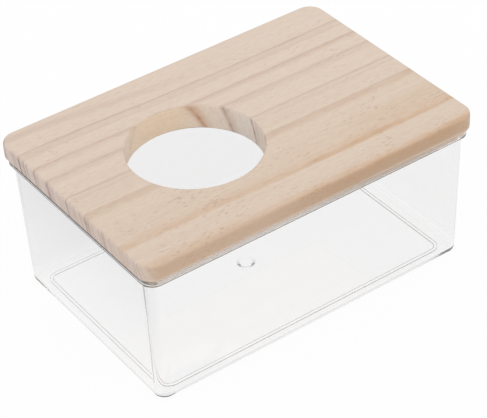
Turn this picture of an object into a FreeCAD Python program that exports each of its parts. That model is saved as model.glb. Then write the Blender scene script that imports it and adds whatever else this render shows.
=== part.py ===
"""Hamster sand bath: a clear moulded tub with a loose pine lid that has an entrance hole.

Frame: millimetres, +Z up, X along the length. The origin is in the middle of the
tub, on the surface that it stands on. The lid's hole is nearer the -X end.
"""
import FreeCAD, Part
import os
from math import pi
from FreeCAD import Vector

# ---- driving dimensions --------------------------------------------------------
LENGTH = 205.0              # lid board, end to end
WIDTH = 140.0               # lid board, front to back
HEIGHT = 92.0               # from the foot bead to the top of the lid
BOARD = 15.0                # thickness of the pine board
WALL = 2.0                  # thickness of the moulded walls and floor

# ---- lid -----------------------------------------------------------------------
TONGUE_DEPTH = 5.0          # lower part of the board, rebated to drop into the tub
LID_CORNER = 9.2            # corner radius in plan
LID_ROUND = 1.8             # rounded top and bottom edges of the board
TONGUE_ROUND = 0.3          # rounded lower edge of the tongue
HOLE_RADIUS = 36.2          # entrance hole, right through the board
HOLE_X = -27.0
HOLE_Y = -1.0
HOLE_ROUND = 0.8            # eased edges of the hole

# ---- how the two pieces meet ---------------------------------------------------
LID_OVERHANG = 1.6          # lid beyond the tub's flange, all round
TONGUE_CLEARANCE = 0.3      # from the tongue to the tub's mouth, all round

# ---- tub -----------------------------------------------------------------------
FLANGE_WIDTH = 2.0          # flange beyond the top of the wall
FLANGE_HEIGHT = 4.0
FLANGE_ROUND = 0.3          # lower edge of the flange, and its root on the wall
MOUTH_ROUND = 0.4           # both top edges of the flange
LEAN_ENDS = 1.5             # draft: how far each end wall leans in down to the floor
LEAN_SIDES = 2.5            # the same for the front and back walls
CORNER_TOP = 7.2            # outside corner radius under the flange
CORNER_FLOOR = 6.4          # outside corner radius at the floor
FLOOR_ROUND = 2.5           # outside edge between walls and floor
FLOOR_ROUND_INSIDE = 1.0

FOOT_HEIGHT = 0.8           # bead under the floor that the tub stands on
FOOT_WIDTH = 2.0
FOOT_INSET = 7.0            # from the outside of the walls to the bead
FOOT_CORNER = 6.2
FOOT_ROUND = 0.6

GATE_RADIUS = 5.2           # boss left by the mould gate, in the middle of the floor's underside
GATE_SLOPE = 1.8            # width of the boss's sloping side
GATE_CLEARANCE = 0.15       # from the boss down to the table, where the bead keeps it clear

# ---- levels --------------------------------------------------------------------
Z_TONGUE = HEIGHT - BOARD                   # underside of the lid's tongue
Z_MOUTH = Z_TONGUE + TONGUE_DEPTH           # top of the flange, where the lid rests
Z_FLANGE = Z_MOUTH - FLANGE_HEIGHT
Z_UNDERSIDE = FOOT_HEIGHT
Z_FLOOR = Z_UNDERSIDE + WALL


class Outline:
    """A rounded rectangle centred on the Z axis."""

    def __init__(self, length, width, corner):
        self.length, self.width, self.corner = length, width, corner

    def inset(self, by):
        """The parallel outline, drawn in by one distance all round."""
        return self.drawn_in(by, by, self.corner - by)

    def drawn_in(self, ends, sides, corner):
        return Outline(self.length - 2 * ends, self.width - 2 * sides, corner)

    def wire(self, z):
        radius = self.corner
        x, y = self.length / 2 - radius, self.width / 2 - radius
        arcs = []
        for quarter, centre in enumerate([(x, y), (-x, y), (-x, -y), (x, -y)]):
            circle = Part.Circle(Vector(*centre, z), Vector(0, 0, 1), radius)
            arc = Part.ArcOfCircle(circle, quarter * pi / 2, (quarter + 1) * pi / 2)
            arcs.append(arc.toShape())
        edges = []
        for arc, following in zip(arcs, arcs[1:] + arcs[:1]):
            straight = Part.makeLine(arc.lastVertex().Point, following.firstVertex().Point)
            edges += [arc, straight]
        return Part.Wire(edges)

    def prism(self, bottom, top):
        return Part.Face(self.wire(bottom)).extrude(Vector(0, 0, top - bottom))


def drafted(lower, z_lower, upper, z_upper):
    """The solid between two outlines that have different sizes and corner radii."""
    return Part.makeLoft([lower.wire(z_lower), upper.wire(z_upper)], True, True)


def level_edges(shape, *levels):
    """The edges that lie in one of the level planes."""
    tolerance = 0.01
    return [edge for edge in shape.Edges for z in levels
            if abs(edge.BoundBox.ZMin - z) < tolerance and abs(edge.BoundBox.ZMax - z) < tolerance]


def rounded(shape, radius, *levels):
    return shape.makeFillet(radius, level_edges(shape, *levels))


# ---- outlines, from the lid inwards --------------------------------------------
BOARD_OUTLINE = Outline(LENGTH, WIDTH, LID_CORNER)
FLANGE = BOARD_OUTLINE.inset(LID_OVERHANG)
WALL_TOP = FLANGE.drawn_in(FLANGE_WIDTH, FLANGE_WIDTH, CORNER_TOP)
WALL_FOOT = WALL_TOP.drawn_in(LEAN_ENDS, LEAN_SIDES, CORNER_FLOOR)
MOUTH = WALL_TOP.inset(WALL)
FLOOR = WALL_FOOT.inset(WALL)
TONGUE = MOUTH.inset(TONGUE_CLEARANCE)
FOOT_OUTSIDE = WALL_FOOT.drawn_in(FOOT_INSET, FOOT_INSET, FOOT_CORNER)
FOOT_INSIDE = FOOT_OUTSIDE.inset(FOOT_WIDTH)


def tub_outside():
    """Leaning walls with a rounded floor edge, under a flange that blends into them."""
    walls = rounded(drafted(WALL_FOOT, Z_UNDERSIDE, WALL_TOP, Z_FLANGE), FLOOR_ROUND, Z_UNDERSIDE)
    outside = walls.fuse(FLANGE.prism(Z_FLANGE, Z_MOUTH)).removeSplitter()
    return rounded(outside, FLANGE_ROUND, Z_FLANGE)


def tub_inside():
    """The space that the tub holds, open at the mouth."""
    return rounded(drafted(FLOOR, Z_FLOOR, MOUTH, Z_MOUTH), FLOOR_ROUND_INSIDE, Z_FLOOR)


def foot_bead():
    """The raised line round the underside, let into the floor so that the two are one."""
    top = Z_UNDERSIDE + WALL / 2
    bead = FOOT_OUTSIDE.prism(0, top).cut(FOOT_INSIDE.prism(0, top))
    return rounded(bead, FOOT_ROUND, 0)


def gate_boss():
    """The low round boss at the mould gate, let into the floor like the bead."""
    slope = Part.makeCone(GATE_RADIUS - GATE_SLOPE, GATE_RADIUS, Z_UNDERSIDE - GATE_CLEARANCE,
                          Vector(0, 0, GATE_CLEARANCE))
    root = Part.makeCylinder(GATE_RADIUS, WALL / 2, Vector(0, 0, Z_UNDERSIDE))
    return slope.fuse(root)


def clear_tub():
    shell = rounded(tub_outside().cut(tub_inside()), MOUTH_ROUND, Z_MOUTH)
    return shell.fuse([foot_bead(), gate_boss()]).removeSplitter()


def wooden_lid():
    """One board: the full outline rests on the flange, and the tongue drops into the mouth."""
    board = rounded(BOARD_OUTLINE.prism(Z_MOUTH, HEIGHT), LID_ROUND, Z_MOUTH, HEIGHT)
    tongue = rounded(TONGUE.prism(Z_TONGUE, Z_MOUTH + LID_ROUND), TONGUE_ROUND, Z_TONGUE)
    hole = Part.makeCylinder(HOLE_RADIUS, BOARD, Vector(HOLE_X, HOLE_Y, Z_TONGUE))
    lid = board.fuse(tongue).removeSplitter().cut(hole)
    rims = [edge for edge in level_edges(lid, Z_TONGUE, HEIGHT)
            if isinstance(edge.Curve, Part.Circle) and abs(edge.Curve.Radius - HOLE_RADIUS) < 0.01]
    return lid.makeFillet(HOLE_ROUND, rims)


PIECES = {"clear_tub": clear_tub, "wooden_lid": wooden_lid}

os.makedirs("parts", exist_ok=True)
for name, make in PIECES.items():
    shape = make()
    if shape.ShapeType == "Compound" and len(shape.Solids) == 1:
        shape = shape.Solids[0]
    box = shape.BoundBox
    print(f"{name}: {len(shape.Solids)} solid, valid {shape.isValid()}, {shape.Volume / 1000:.1f} cm3,"
          f" {box.XLength:.1f} x {box.YLength:.1f} x {box.ZLength:.1f} mm,"
          f" z {box.ZMin:.1f} to {box.ZMax:.1f}")
    shape.exportStep(f"parts/{name}.step")
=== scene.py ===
"""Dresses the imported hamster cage: a clear moulded tub under a pine lid with a round hole.

The frame is that of the CAD model, with +Z up and the front at -Y. The scene is in metres.
The materials count in millimetres from the same origin, and stay fixed to the piece they are on.
"""
from functools import reduce
from math import cos, radians, sin

import bpy
from mathutils import Matrix, Vector


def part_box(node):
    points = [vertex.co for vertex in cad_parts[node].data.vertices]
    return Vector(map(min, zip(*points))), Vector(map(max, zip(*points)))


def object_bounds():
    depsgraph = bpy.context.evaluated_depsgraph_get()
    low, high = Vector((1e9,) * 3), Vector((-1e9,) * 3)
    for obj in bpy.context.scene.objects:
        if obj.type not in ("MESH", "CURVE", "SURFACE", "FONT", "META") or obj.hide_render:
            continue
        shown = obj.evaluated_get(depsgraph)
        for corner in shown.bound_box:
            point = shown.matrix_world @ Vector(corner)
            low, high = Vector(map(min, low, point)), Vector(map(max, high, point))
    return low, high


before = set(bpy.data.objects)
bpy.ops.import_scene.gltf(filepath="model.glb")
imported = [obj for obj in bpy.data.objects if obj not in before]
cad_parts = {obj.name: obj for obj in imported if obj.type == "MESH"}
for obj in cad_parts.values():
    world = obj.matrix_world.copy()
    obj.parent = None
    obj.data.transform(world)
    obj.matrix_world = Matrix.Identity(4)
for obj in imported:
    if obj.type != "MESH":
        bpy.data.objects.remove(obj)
cad_low, cad_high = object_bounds()
lid_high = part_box("wooden_lid")[1]
tub_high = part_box("clear_tub")[1]

MM = 0.001


# ---- camera, fitted to the photograph ------------------------------------------
CAMERA_AZIMUTH = radians(-33.737)
CAMERA_ELEVATION = radians(37.718)
CAMERA_ROLL = radians(-3.388)
CAMERA_DISTANCE = 1.0473
CAMERA_AIM = Vector((0, 0, 0.0381))     # the point that the distance is counted from
CAMERA_ACROSS = 0.00106                 # small shifts of the camera in its own plane
CAMERA_UP = -0.00071
LENS = 145.7                            # in mm, as the sensor's width
SENSOR = 36.0


def add_camera():
    a, e = CAMERA_AZIMUTH, CAMERA_ELEVATION
    back = Vector((sin(a) * cos(e), -cos(a) * cos(e), sin(e)))
    right = (-back).cross(Vector((0, 0, 1))).normalized()
    up = right.cross(-back)
    rolled_right = right * cos(CAMERA_ROLL) + up * sin(CAMERA_ROLL)
    rolled_up = up * cos(CAMERA_ROLL) - right * sin(CAMERA_ROLL)
    place = CAMERA_AIM + back * CAMERA_DISTANCE + rolled_right * CAMERA_ACROSS + rolled_up * CAMERA_UP
    camera = bpy.data.objects.new("camera", bpy.data.cameras.new("camera"))
    camera.data.lens = LENS
    camera.data.sensor_width = SENSOR
    camera.matrix_world = Matrix((
        (rolled_right.x, rolled_up.x, back.x, place.x),
        (rolled_right.y, rolled_up.y, back.y, place.y),
        (rolled_right.z, rolled_up.z, back.z, place.z),
        (0, 0, 0, 1),
    ))
    bpy.context.scene.collection.objects.link(camera)
    bpy.context.scene.camera = camera


# ---- node helpers --------------------------------------------------------------
class Graph:
    """A node tree with short ways to add nodes and to wire them."""

    def __init__(self, tree):
        self.nodes, self.links = tree.nodes, tree.links
        self.nodes.clear()

    def add(self, kind, settings=None, **sockets):
        """Adds a node. Its sockets are given by name, with _ for each space."""
        node = self.nodes.new(kind)
        for key, value in (settings or {}).items():
            setattr(node, key, value)
        for key, value in sockets.items():
            self.feed(node.inputs[key.replace("_", " ")], value)
        return node

    def feed(self, socket, value):
        """Wires another node's output to the socket, or sets the socket to a plain value."""
        if isinstance(value, bpy.types.NodeSocket):
            self.links.new(value, socket)
        else:
            socket.default_value = value

    def fed(self, node, values):
        """The node, with its first sockets fed in order."""
        for socket, value in zip(node.inputs, values):
            self.feed(socket, value)
        return node

    def math(self, operation, *values, clamp=False):
        node = self.add("ShaderNodeMath", {"operation": operation, "use_clamp": clamp})
        return self.fed(node, values).outputs[0]

    def plus(self, first, second):
        return self.math("ADD", first, second)

    def minus(self, first, second):
        return self.math("SUBTRACT", first, second)

    def times(self, *values):
        """The product, which for values of 0 and 1 says whether all of them hold."""
        return reduce(lambda product, value: self.math("MULTIPLY", product, value), values)

    def largest(self, *values):
        return reduce(lambda so_far, value: self.math("MAXIMUM", so_far, value), values)

    def magnitude(self, value):
        return self.math("ABSOLUTE", value)

    def over(self, value, limit):
        return self.math("GREATER_THAN", value, limit)

    def under(self, value, limit):
        return self.math("LESS_THAN", value, limit)

    def linear(self, value, gain, offset, clamp=False):
        return self.math("MULTIPLY_ADD", value, gain, offset, clamp=clamp)

    def between(self, value, low, high, at_low, at_high):
        """Runs smoothly from at_low to at_high while the value goes from low to high."""
        return self.add("ShaderNodeMapRange", {"interpolation_type": "SMOOTHSTEP"}, Value=value,
                        From_Min=low, From_Max=high, To_Min=at_low, To_Max=at_high).outputs[0]

    def split(self, vector):
        return self.add("ShaderNodeSeparateXYZ", Vector=vector).outputs

    def scaled(self, vector, scale):
        node = self.add("ShaderNodeVectorMath", {"operation": "MULTIPLY"})
        return self.fed(node, (vector, scale)).outputs["Vector"]

    def length(self, vector):
        node = self.add("ShaderNodeVectorMath", {"operation": "LENGTH"})
        return self.fed(node, (vector,)).outputs["Value"]

    def noise(self, vector, scale=1.0, detail=2.0, roughness=0.5):
        return self.add("ShaderNodeTexNoise", Vector=vector, Scale=scale, Detail=detail,
                        Roughness=roughness).outputs["Fac"]

    def ramp(self, value, stops):
        """Looks the value up in a list of (position, shade of grey), from the low side up."""
        node = self.add("ShaderNodeValToRGB", Fac=value)
        ramp = node.color_ramp
        while len(ramp.elements) < len(stops):
            ramp.elements.new(1.0)
        for element, (position, shade) in zip(ramp.elements, stops):
            element.position = position
            element.color = grey(shade)
        return node.outputs["Color"]

    def mix(self, share, first, second):
        """The first colour, with a share of the second."""
        node = self.add("ShaderNodeMix", {"data_type": "RGBA"})
        # the node has a socket for each kind of data: those for colours are 6 and 7, and output 2
        self.feed(node.inputs[0], share)
        self.feed(node.inputs[6], first)
        self.feed(node.inputs[7], second)
        return node.outputs[2]

    def mix_shaders(self, share, first, second):
        node = self.add("ShaderNodeMixShader")
        return self.fed(node, (share, first, second)).outputs[0]


def srgb(red, green, blue):
    """A colour given as 0 to 255 on a screen, as the linear value that a shader takes."""
    linear = [((c / 255 + 0.055) / 1.055) ** 2.4 for c in (red, green, blue)]
    return (*linear, 1.0)


def grey(value):
    return (value, value, value, 1)


def new_material(name):
    material = bpy.data.materials.new(name)
    material.use_nodes = True
    return material, Graph(material.node_tree)


class Surface:
    """Where the shaded point lies on its piece, in mm, and which way it faces."""

    def __init__(self, g):
        coordinates = g.add("ShaderNodeTexCoord").outputs
        self.g = g
        self.spot = g.scaled(coordinates["Object"], (1 / MM,) * 3)
        self.x, self.y, self.z = g.split(self.spot)
        self.facing_x, self.facing_y, self.facing_z = g.split(coordinates["Normal"])


# ---- pine ----------------------------------------------------------------------
EARLYWOOD = srgb(231, 213, 197)
# the long edges: their own tone, and painted shade that makes them darker than the top
SIDE_GRAIN_AND_SHADE = srgb(209, 186, 167)
END_GRAIN = srgb(232, 217, 208)
# the wall of the hole: wood, painted much paler as light that reaches into the hole
HOLE_GRAIN_AND_LIGHT = srgb(254, 230, 203)
HOLE_END_GRAIN_AND_LIGHT = srgb(255, 246, 236)
LATEWOOD = srgb(156, 114, 86)
RED_LATEWOOD = srgb(154, 104, 86)
ORANGE_LATEWOOD = srgb(184, 112, 66)
END_LATEWOOD = srgb(112, 88, 78)
BROWN_BAND = srgb(200, 140, 70)
EDGE_BROWN = srgb(150, 100, 30)
FIBRE = srgb(168, 130, 104)
YELLOW_WOOD = srgb(196, 170, 118)
# painted light, on the lower edges and on the tongue along the sides
PAINTED_EDGE_LIGHT = srgb(246, 236, 224)

# Places on the board, in mm.
REBATE_X, REBATE_Y = 96.0, 63.5     # just inside the tongue's sides: all outer edges lie beyond these
REBATE_TOP = 82.0                   # the ledge over the tongue, which rests on the rim of the tub
LEDGE_MARGIN = 0.05
# the painted light on the tongue's sides reaches this far down
TONGUE_SHOWS = 4.8                  # how much of the tongue's sides is paler
STREAK_Y = -38.0                    # middle of a yellower streak

# Growth rings where they meet the top of the board, in mm from its middle line: place, darkness.
RINGS = [
    (47.2, 0.0), (46.8, 0.4), (46.3, 1.3), (45.7, 0.4), (43.0, 0.2), (41.4, 0.5), (40.2, 0.0),
    (32.8, 0.0), (31.6, 0.4), (30.9, 0.9), (30.0, 0.4), (26.5, 0.0),
    (20.4, 0.0), (19.2, 0.35), (18.2, 0.8), (17.0, 0.4), (12.5, 0.0),
    (1.6, 0.0), (0.8, 0.3), (0.1, 1.0), (-0.8, 0.2), (-2.3, 0.1), (-3.4, 0.35), (-4.8, 0.1), (-9.0, 0.1),
    (-15.2, 0.0), (-16.5, 0.75), (-17.8, 0.5), (-20.0, 0.45), (-21.2, 0.15), (-23.5, 0.0),
]
BROWN_RINGS = [
    (32.0, 0.0), (30.5, 0.25), (28.0, 0.0), (-15.5, 0.0), (-17.5, 0.3), (-21.0, 0.2), (-24.0, 0.0),
    (-30.0, 0.05), (-36.0, 0.15), (-45.0, 0.25), (-48.0, 0.5), (-50.2, 1.0), (-52.2, 0.9), (-53.0, 0.1),
    (-54.5, 0.0), (-61.5, 0.0), (-66.0, 0.25), (-68.0, 0.8), (-70.0, 1.0), (-71.5, 1.0),
]
RING_SPAN = 80.0                    # the two lists cover this far either side of the middle line
RING_TILT = 0.37                    # how far a ring runs sideways for each step down the board
SLOW_WAVER, QUICK_WAVER = 1.2, 0.8  # the most that it wavers, from side to side

# One more ring, which the saw met at a slant.
SLANTED_PLACE = 54.0                # where it crosses the middle of the board
SLANTED_HALF_WIDTH = 3.5
SLANT = 0.082                       # how far it runs to the front for each step to the right

# How strongly each look tells.
RINGS_ON_TOP = 0.28
RINGS_ADDED_ON_EDGES = 0.6
RINGS_IN_HOLE = 0.7
BROWN_ON_TOP = 0.34
BROWN_ADDED_ON_EDGES = -0.15
CANALS_SHARE = 0.28
FINE_RINGS_SHARE = 0.3
FINE_RINGS_PER_MM = 0.7
FINE_RINGS_DRIFT = 0.02             # how slowly they change along the board

# Smooth changes, as Graph.between takes them: from and to, in mm, and then the value at each.
# They go by the place along the board,
RING_BEND = (-85.0, 15.0, -2.2, 0.0)            # rings run back toward the left end
SLANTED_FADES = (-90.0, 70.0, 0.5, 0.05)
BROWN_GROWS = (-60.0, 60.0, 0.7, 1.25)
RINGS_LOST_IN_HOLE = (-40.0, -26.0, 0.85, 0.0)  # on its left wall
BROWN_ADDED_IN_HOLE = (-40.0, -26.0, -0.1, 0.5)
EDGES_TURN_BROWN = (-45.0, 25.0, 0.0, 0.22)
EDGES_TURN_BACK = (82.0, 98.0, 1.0, 0.2)        # near the right corners
STREAK_STARTS = (25.0, 60.0, 0.0, 0.12)
DARKER_LEFTWARD = (100.0, -100.0, 0.0, 0.03)
# by the place across it, or the distance across the rings,
YELLOWER_FRONTWARD = (40.0, -50.0, 0.0, 0.08)
CANALS_FRONTWARD = (-15.0, -30.0, 0.0, 0.12)
STREAK_EDGE = (3.0, 10.0, 1.0, 0.0)             # counted from STREAK_Y
RINGS_TURN_ORANGE = (21.0, 26.0, 0.0, 1.0)      # across the rings, in the hole
# by the level, and by how much farther a point is past the end of the board than past its side.
LOW_EDGE_LIGHT = (REBATE_TOP, REBATE_TOP + 3.0, 0.7, 0.0)
EDGE_LIGHT_UP_TO_END = (0.0, 4.0, 1.0, 0.0)


class Board(Surface):
    """The same on the lid, with the distance across the rings and the kind of face."""

    def __init__(self, g):
        super().__init__(g)
        self.across = self.distance_across_rings()
        # 0 on the top and underside, 1 on the edges and in the hole
        self.upright = g.minus(1.0, g.magnitude(self.facing_z))
        self.end_on = g.times(self.facing_x, self.facing_x)
        self.side_on = g.times(self.facing_y, self.facing_y)
        self.beyond_end = g.minus(g.magnitude(self.x), REBATE_X)
        self.beyond_side = g.minus(g.magnitude(self.y), REBATE_Y)
        self.outside = g.over(g.largest(self.beyond_end, self.beyond_side), 0.0)
        self.in_hole = g.times(self.upright, g.minus(1.0, self.outside))

    def noise(self, along, across, detail=2.0, roughness=0.5):
        """Noise that changes about so many times per mm along the board and across it."""
        return self.g.noise(self.g.scaled(self.spot, (along, across, across)), 1.0, detail, roughness)

    def distance_across_rings(self):
        """The rings run down through the board at a tilt, bend a little along it and waver."""
        g = self.g
        depth = g.minus(lid_high.z / MM, self.z)
        across = g.linear(depth, RING_TILT, self.y)
        across = g.plus(across, g.between(self.x, *RING_BEND))
        slow = self.noise(along=0.012, across=0.010, detail=1.0)
        across = g.plus(across, g.linear(slow, SLOW_WAVER, -SLOW_WAVER / 2))
        quick = self.noise(along=0.08, across=0.05, detail=1.0)
        return g.plus(across, g.linear(quick, QUICK_WAVER, -QUICK_WAVER / 2))


def ring_shade(g, place, rings):
    """Looks the distance across the rings up in one of the lists."""
    low_to_high = sorted((0.5 + at / (2 * RING_SPAN), shade) for at, shade in rings)
    return g.ramp(g.linear(place, 0.5 / RING_SPAN, 0.5), low_to_high)


def growth_rings(g, board):
    """How dark the wood is from its rings, and how brown, with patches that break both up."""
    patches = board.noise(along=0.07, across=0.3)
    rings = g.times(ring_shade(g, board.across, RINGS), g.plus(patches, 0.5))
    brown = g.times(ring_shade(g, board.across, BROWN_RINGS), g.linear(patches, gain=1.6, offset=0.2),
                    g.between(board.x, *BROWN_GROWS))
    from_slanted = g.minus(g.linear(board.x, SLANT, board.across), SLANTED_PLACE)
    off = g.math("DIVIDE", from_slanted, SLANTED_HALF_WIDTH)
    slanted = g.math("SUBTRACT", 1.0, g.times(off, off), clamp=True)
    slanted = g.times(slanted, g.between(board.x, *SLANTED_FADES))
    return g.largest(rings, slanted), brown


def bare_wood(g, board):
    """A colour for the top, one for each kind of edge, and two for the wall of the hole. The long edges
    carry painted shade, and the hole's wall is painted much paler as light that reaches into it.
    """
    colour = g.mix(board.end_on, g.mix(board.side_on, EARLYWOOD, SIDE_GRAIN_AND_SHADE), END_GRAIN)
    return g.mix(board.in_hole, colour, g.mix(board.end_on, HOLE_GRAIN_AND_LIGHT, HOLE_END_GRAIN_AND_LIGHT))


def add_rings(g, board, colour, rings):
    """Rings are faint on the top and tell most where they are cut across."""
    strength = g.linear(board.upright, g.times(rings, RINGS_ADDED_ON_EDGES), RINGS_ON_TOP)
    strength = g.largest(strength, g.times(board.in_hole, RINGS_IN_HOLE))
    dark = g.math("MULTIPLY", rings, strength, clamp=True)
    lost = g.times(board.in_hole, g.between(board.x, *RINGS_LOST_IN_HOLE))
    dark = g.times(dark, g.minus(1.0, lost))
    cut = g.mix(g.between(board.across, *RINGS_TURN_ORANGE), RED_LATEWOOD, ORANGE_LATEWOOD)
    cut = g.mix(board.outside, cut, END_LATEWOOD)
    return g.mix(dark, colour, g.mix(board.upright, LATEWOOD, cut))


def add_brown(g, board, colour, brown):
    """Brown bands go with some of the rings, and the long edges are browner to the right."""
    strength = g.plus(g.linear(board.upright, BROWN_ADDED_ON_EDGES, BROWN_ON_TOP),
                      g.times(board.in_hole, g.between(board.x, *BROWN_ADDED_IN_HOLE)))
    colour = g.mix(g.math("MULTIPLY", brown, strength, clamp=True), colour, BROWN_BAND)
    to_right = g.times(g.between(board.x, *EDGES_TURN_BROWN), g.between(board.x, *EDGES_TURN_BACK))
    return g.mix(g.times(to_right, g.times(board.side_on, board.outside)), colour, EDGE_BROWN)


def add_painted_edge_light(g, board, colour):
    """Painted light: along the sides, the lower part of the edge and the rebate under it are paler, for
    the light from the table that falls on them.
    """
    low = g.between(board.z, *LOW_EDGE_LIGHT)
    colour = g.mix(g.times(board.outside, low, board.side_on), colour, PAINTED_EDGE_LIGHT)
    along_side = g.between(g.minus(board.beyond_end, board.beyond_side), *EDGE_LIGHT_UP_TO_END)
    in_rebate = g.times(g.under(board.z, REBATE_TOP + LEDGE_MARGIN),
                        g.over(board.z, REBATE_TOP - TONGUE_SHOWS))
    return g.mix(g.times(in_rebate, g.times(board.outside, along_side)), colour, PAINTED_EDGE_LIGHT)


def add_slow_changes(g, board, colour):
    """Yellower toward the front and in one streak at the right, darker toward the left end."""
    colour = g.mix(g.between(board.y, *YELLOWER_FRONTWARD), colour, YELLOW_WOOD)
    from_streak = g.magnitude(g.minus(board.y, STREAK_Y))
    streak = g.times(g.between(board.x, *STREAK_STARTS), g.between(from_streak, *STREAK_EDGE))
    colour = g.mix(streak, colour, YELLOW_WOOD)
    return g.mix(g.between(board.x, *DARKER_LEFTWARD), colour, LATEWOOD)


def add_fibres(g, board, colour, fibres):
    """Fine fibres, faint streaks and short dark resin canals, drawn out along the board.

    The canals lie in clusters, with more of them toward the front.
    """
    colour = g.mix(g.linear(fibres, gain=0.60, offset=-0.24, clamp=True), colour, FIBRE)
    streaks = board.noise(along=0.01, across=0.25)
    colour = g.mix(g.linear(streaks, gain=0.20, offset=-0.08, clamp=True), colour, FIBRE)
    clusters = board.noise(along=0.05, across=0.08, detail=1.0)
    clusters = g.plus(clusters, g.between(board.y, *CANALS_FRONTWARD))
    canals = board.noise(along=0.35, across=1.2, detail=0.0)
    canals = g.linear(canals, gain=14.0, offset=g.linear(clusters, gain=8.0, offset=-15.4), clamp=True)
    return g.mix(g.times(canals, CANALS_SHARE), colour, LATEWOOD)


def add_end_grain(g, board, colour):
    """End grain shows fine rings between the broad ones, and is speckled."""
    ring_space = g.add("ShaderNodeCombineXYZ", X=board.across, Y=g.times(board.x, FINE_RINGS_DRIFT))
    fine_rings = g.noise(ring_space.outputs[0], scale=FINE_RINGS_PER_MM, roughness=0.6)
    fine_rings = g.linear(fine_rings, gain=6.0, offset=-2.9, clamp=True)
    fine_rings = g.times(fine_rings, g.times(board.end_on, board.outside))
    colour = g.mix(g.times(fine_rings, FINE_RINGS_SHARE), colour, END_LATEWOOD)
    speckle = board.noise(along=0.6, across=2.2, detail=3.0, roughness=0.7)
    speckle = g.times(board.end_on, g.linear(speckle, gain=0.5, offset=-0.15, clamp=True))
    return g.mix(speckle, colour, LATEWOOD)


def pine():
    material, g = new_material("pine")
    board = Board(g)
    rings, brown = growth_rings(g, board)
    fibres = board.noise(along=0.2, across=1.1, detail=3.0, roughness=0.8)
    colour = bare_wood(g, board)
    colour = add_rings(g, board, colour, rings)
    colour = add_brown(g, board, colour, brown)
    colour = add_painted_edge_light(g, board, colour)
    colour = add_slow_changes(g, board, colour)
    colour = add_fibres(g, board, colour, fibres)
    colour = add_end_grain(g, board, colour)
    height = g.linear(rings, gain=0.3, offset=fibres)
    bump = g.add("ShaderNodeBump", Strength=0.08, Distance=0.3 * MM, Height=height).outputs[0]
    roughness = g.linear(fibres, gain=0.25, offset=0.48)
    shader = g.add("ShaderNodeBsdfPrincipled", Base_Color=colour, Roughness=roughness,
                   Specular_IOR_Level=0.3, Normal=bump)
    g.add("ShaderNodeOutputMaterial", Surface=shader.outputs[0])
    return material


# ---- clear plastic -------------------------------------------------------------
PLASTIC_IOR = 1.55
TRAPPED_AFTER = 6.5                 # surfaces met before light counts as caught inside the plastic
TRAPPED_LIGHT = grey(0.85)
CLEAR = grey(1.0)
# tint of the plastic where shade is painted on it, and on the darker line of the left end
DARK = grey(0.02)
# painted light on the rim's face: pale at the left, browner to the right like the wood behind it
RIM_LIGHT_LEFT = (1.0, 0.91, 0.86, 1)
RIM_LIGHT_RIGHT = (0.68, 0.55, 0.45, 1)

# Places on the tub, in mm. The rim is the flange round its mouth.
LOW_DOWN = 4.0                      # the rounding over the table is below this level
RIM_FOOT = 78.0                     # level of the rim's lower edge
RIM_LINE = 78.85                    # level of the line along the rim's sides
RIM_FACE = -0.4                     # what lies farther past the rim's outline is its outer face
GATE_REACH = 6.0                    # the gate mark is nearer the middle than this
GATE_TOP = 1.1                      # and below this level
DARK_LINE_Y = -59.7
LEFT_END_X = -97.0                  # the outside of the left wall is beyond this

# Smooth changes, as for the pine. They go by the distance past the rim's outline,
TABLE_CORNER = (-13.0, -11.0, 0.0, 1.0)
RIM_CORNER_PAST_END = (-3.5, -1.5, 0.0, 1.0)
RIM_CORNER_PAST_SIDE = (-6.0, -4.0, 0.0, 1.0)
OVER_AN_END = (1.5, 4.0, 0.0, 1.0)              # how much farther past the end than past the side
# by the place along the tub, or across it,
LINE_STOPS = (70.0, 85.0, 1.0, 0.0)
RIM_LIGHT_GROWS_RIGHTWARD = (20.0, 80.0, 1.0, 1.6)
RIM_LIGHT_TURNS_BROWN = (-30.0, 60.0, 0.0, 1.0)
ENDS_DARKEN_BACKWARD = (-66.0, -54.0, 0.45, 1.0)
GATE_HALVES = (-1.0, 4.0, 1.0, 0.2)             # along a slanted direction, from the front left
# by the distance from a line,
LINE_EDGE = (0.15, 0.4, 0.6, 0.0)
DARK_LINE_EDGE = (0.3, 0.9, 0.5, 0.0)
# by the level,
END_SHADE = (78.9, 79.7, 0.0, 0.9)
CORNER_SHADE = (77.8, 78.2, 0.0, 0.8)
DARK_LINE_FADES_IN = (48.0, 72.0, 0.0, 1.0)
SIDE_RIM_LIGHT = (79.1, 79.8, 0.0, 0.46)
LOWER_EDGE_RIM_LIGHT = (78.3, 78.5, 0.7, 0.0)
# and by the upward part of the normal: -1 where a face looks down, 0 where it looks sideways.
LEAVES_DOWN = (-0.97, -0.9, 0.0, 1.0)
NEARS_SIDEWAYS = (-0.25, -0.05, 1.0, 0.0)
GATE_SLOPE = (0.95, 0.99, 0.4, 0.0)             # by its size, which is 1 on a level face


class TubSurface(Surface):
    """The same on the tub, with how far the point lies past the ends, sides and front of the rim."""

    def __init__(self, g):
        super().__init__(g)
        half_length, half_width = tub_high.x / MM, tub_high.y / MM
        self.past_end = g.minus(g.magnitude(self.x), half_length)
        self.past_side = g.minus(g.magnitude(self.y), half_width)
        self.past_front = g.minus(g.times(self.y, -1.0), half_width)


def table_corners_painted_shade(g, tub):
    """Painted shade: the two front corners are dark where they round over to the table."""
    in_corner = g.times(g.between(tub.past_end, *TABLE_CORNER), g.between(tub.past_front, *TABLE_CORNER))
    rounding = g.times(g.between(tub.facing_z, *LEAVES_DOWN), g.between(tub.facing_z, *NEARS_SIDEWAYS))
    return g.times(in_corner, rounding, g.under(tub.z, LOW_DOWN))


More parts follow.
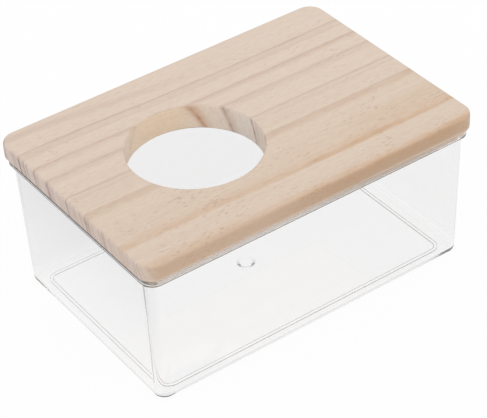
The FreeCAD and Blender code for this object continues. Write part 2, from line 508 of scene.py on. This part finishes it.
def rim_ends_painted_shade(g, tub):
    """Painted shade: the rim is dark over both ends, where the gap under the lid lies in shade, and less
    so at the front corners.
    """
    over_end = g.between(g.minus(tub.past_end, tub.past_side), *OVER_AN_END)
    return g.times(over_end, g.over(tub.z, RIM_FOOT), g.between(tub.y, *ENDS_DARKEN_BACKWARD),
                   g.between(tub.z, *END_SHADE))


def rim_corners_painted_shade(g, tub):
    """Painted shade: the rim's back left and front right corners are dark."""
    corner = g.times(g.between(tub.past_end, *RIM_CORNER_PAST_END),
                     g.between(tub.past_side, *RIM_CORNER_PAST_SIDE))
    back_left_or_front_right = g.under(g.times(tub.x, tub.y), 0.0)
    return g.times(corner, back_left_or_front_right, g.between(tub.z, *CORNER_SHADE))


def rim_painted_shade_line(g, tub):
    """Painted shade: a thin darker line runs along the rim's sides, near their lower edge, and ends at
    the right.
    """
    line = g.between(g.magnitude(g.minus(tub.z, RIM_LINE)), *LINE_EDGE)
    return g.times(line, g.between(tub.x, *LINE_STOPS), g.over(tub.past_side, RIM_FACE))


def gate_slope_painted_shade(g, tub):
    """Painted shade: the gate's slope is dark, most of all on its front left half."""
    from_gate = g.length(g.scaled(tub.spot, (1.0, 1.0, 0.0)))
    sloping = g.between(g.magnitude(tub.facing_z), *GATE_SLOPE)
    halves = g.between(g.linear(tub.x, gain=0.6, offset=tub.y), *GATE_HALVES)
    return g.times(g.under(from_gate, GATE_REACH), g.times(sloping, g.under(tub.z, GATE_TOP)), halves)


def left_end_dark_line(g, tub):
    """A darker line runs down the left end beside the front corner, and fades on its way."""
    seam = g.between(g.magnitude(g.minus(tub.y, DARK_LINE_Y)), *DARK_LINE_EDGE)
    return g.times(seam, g.under(tub.x, LEFT_END_X), g.between(tub.z, *DARK_LINE_FADES_IN))


def rim_painted_light(g, tub):
    """Painted light: a pale layer on the rim's face along the sides, and at its lower edge all round,
    stands in for lit wood seen through the rim and for light from the table.
    """
    along_side = g.times(g.between(tub.z, *SIDE_RIM_LIGHT), g.between(tub.x, *RIM_LIGHT_GROWS_RIGHTWARD),
                         g.over(tub.past_side, tub.past_end))
    lower_edge = g.between(tub.z, *LOWER_EDGE_RIM_LIGHT)
    on_face = g.over(g.largest(tub.past_side, tub.past_end), RIM_FACE)
    return g.times(on_face, g.largest(along_side, lower_edge))


def clear_plastic():
    """Clear plastic, in which light that stays caught ends as a grey line, not a black one."""
    material, g = new_material("clear_plastic")
    tub = TubSurface(g)
    # the painted shades of the tub, with the darker line on its left end, darken the plastic's tint
    shade = g.largest(table_corners_painted_shade(g, tub), rim_ends_painted_shade(g, tub), gate_slope_painted_shade(g, tub),
                      rim_painted_shade_line(g, tub), left_end_dark_line(g, tub), rim_corners_painted_shade(g, tub))
    haze = g.noise(g.scaled(tub.spot, (0.05, 0.05, 0.05)), detail=3.0)
    clear = g.add("ShaderNodeBsdfPrincipled", Base_Color=g.mix(shade, CLEAR, DARK),
                  Roughness=g.linear(haze, gain=0.03, offset=0.005),
                  Transmission_Weight=1.0, IOR=PLASTIC_IOR)
    # the painted light on the rim turns browner to the right
    rim_light_colour = g.mix(g.between(tub.x, *RIM_LIGHT_TURNS_BROWN), RIM_LIGHT_LEFT, RIM_LIGHT_RIGHT)
    rim_light_layer = g.add("ShaderNodeBsdfDiffuse", Color=rim_light_colour)
    body = g.mix_shaders(rim_painted_light(g, tub), clear.outputs[0], rim_light_layer.outputs[0])
    trapped = g.over(g.add("ShaderNodeLightPath").outputs["Ray Depth"], TRAPPED_AFTER)
    passed_on = g.add("ShaderNodeBsdfTransparent", Color=TRAPPED_LIGHT)
    g.add("ShaderNodeOutputMaterial", Surface=g.mix_shaders(trapped, body, passed_on.outputs[0]))
    return material


# ---- studio --------------------------------------------------------------------
WHITE = grey(1.0)
FLOOR_HALF = 4.0
FLOOR_DROP = 0.1 * MM               # the floor lies this far under the tub's bead
FLOOR_COLOUR = grey(0.9)
FLOOR_GLOW = 0.96                   # share of plain white in the floor that is seen

# How bright the floor is in and through the plastic, with the tub's shadow painted on it to the left,
# right and back: smooth changes by the place, in metres.
FLOOR_SHADOW_LEFT = (-0.17, -0.10, 0.58, 0.98)
FLOOR_SHADOW_RIGHT = (0.09, 0.11, 0.0, 0.10)
FLOOR_SHADOW_BACK = (0.055, 0.075, 0.0, 0.12)

ROOM_LIGHT = grey(0.94)
ROOM_IN_PLASTIC = grey(0.3)
LAMP_PLACE = Vector((0.0, -0.5, 1.5))
LAMP_AIM = Vector((0, 0, 0.05))
LAMP_SIZE = 1.4
LAMP_POWER = 1.6
BOUNCES = 32
GLOSSY_BOUNCES = 24


def seen_directly(g):
    """1 for what the camera sees, straight or through the clear plastic or in its gloss."""
    path = g.add("ShaderNodeLightPath").outputs
    return g.largest(path["Is Camera Ray"], path["Is Transmission Ray"], path["Is Glossy Ray"])


def add_floor():
    """White to the camera, and with a painted shadow of the tub beside and behind it where the plastic
    shows the floor.
    """
    half, level = FLOOR_HALF, cad_low.z - FLOOR_DROP
    corners = [(-half, -half, level), (half, -half, level), (half, half, level), (-half, half, level)]
    mesh = bpy.data.meshes.new("floor")
    mesh.from_pydata([Vector(c) for c in corners], [], [(0, 1, 2, 3)])
    floor = bpy.data.objects.new("floor", mesh)
    bpy.context.scene.collection.objects.link(floor)
    material, g = new_material("floor")
    lit = g.add("ShaderNodeBsdfDiffuse", Color=FLOOR_COLOUR)
    x, y, _ = g.split(g.add("ShaderNodeTexCoord").outputs["Object"])
    # painted shadow of the tub, seen only in and through the plastic
    in_plastic = g.minus(g.between(x, *FLOOR_SHADOW_LEFT), g.between(x, *FLOOR_SHADOW_RIGHT))
    in_plastic = g.minus(in_plastic, g.between(y, *FLOOR_SHADOW_BACK))
    to_camera = g.add("ShaderNodeLightPath").outputs["Is Camera Ray"]
    white = g.add("ShaderNodeEmission", Color=WHITE, Strength=g.largest(to_camera, in_plastic))
    glow = g.times(seen_directly(g), FLOOR_GLOW)
    mixed = g.mix_shaders(glow, lit.outputs[0], white.outputs[0])
    g.add("ShaderNodeOutputMaterial", Surface=mixed)
    mesh.materials.append(material)


def add_world():
    """White to the camera, an even light on the wood, and dim where the plastic shows it."""
    world = bpy.data.worlds.new("studio")
    bpy.context.scene.world = world
    world.use_nodes = True
    g = Graph(world.node_tree)
    path = g.add("ShaderNodeLightPath").outputs
    undiffused = g.under(path["Diffuse Depth"], 0.5)
    mirrored = g.largest(path["Is Glossy Ray"], path["Is Transmission Ray"])
    lit = g.mix(g.times(mirrored, undiffused), ROOM_LIGHT, ROOM_IN_PLASTIC)
    shader = g.add("ShaderNodeBackground", Color=g.mix(path["Is Camera Ray"], lit, WHITE), Strength=1.0)
    g.add("ShaderNodeOutputWorld", Surface=shader.outputs[0])


def add_lamp():
    """A large soft lamp above the front, aimed at the middle of the tub."""
    lamp = bpy.data.lights.new("overhead", "AREA")
    lamp.shape = "DISK"
    lamp.size = LAMP_SIZE
    lamp.energy = LAMP_POWER
    holder = bpy.data.objects.new("overhead", lamp)
    holder.location = LAMP_PLACE
    holder.rotation_euler = (LAMP_AIM - LAMP_PLACE).to_track_quat("-Z", "Y").to_euler()
    bpy.context.scene.collection.objects.link(holder)


add_camera()
add_world()
add_floor()
add_lamp()

for node, make in (("wooden_lid", pine), ("clear_tub", clear_plastic)):
    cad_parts[node].material_slots[0].material = make()
# Cycles would shade the whole inside of the tub as if it weren't clear
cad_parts["clear_tub"].visible_shadow = False

bpy.context.scene.view_settings.view_transform = "Standard"
light_paths = bpy.context.scene.cycles
light_paths.max_bounces = BOUNCES
light_paths.transmission_bounces = BOUNCES
light_paths.glossy_bounces = GLOSSY_BOUNCES
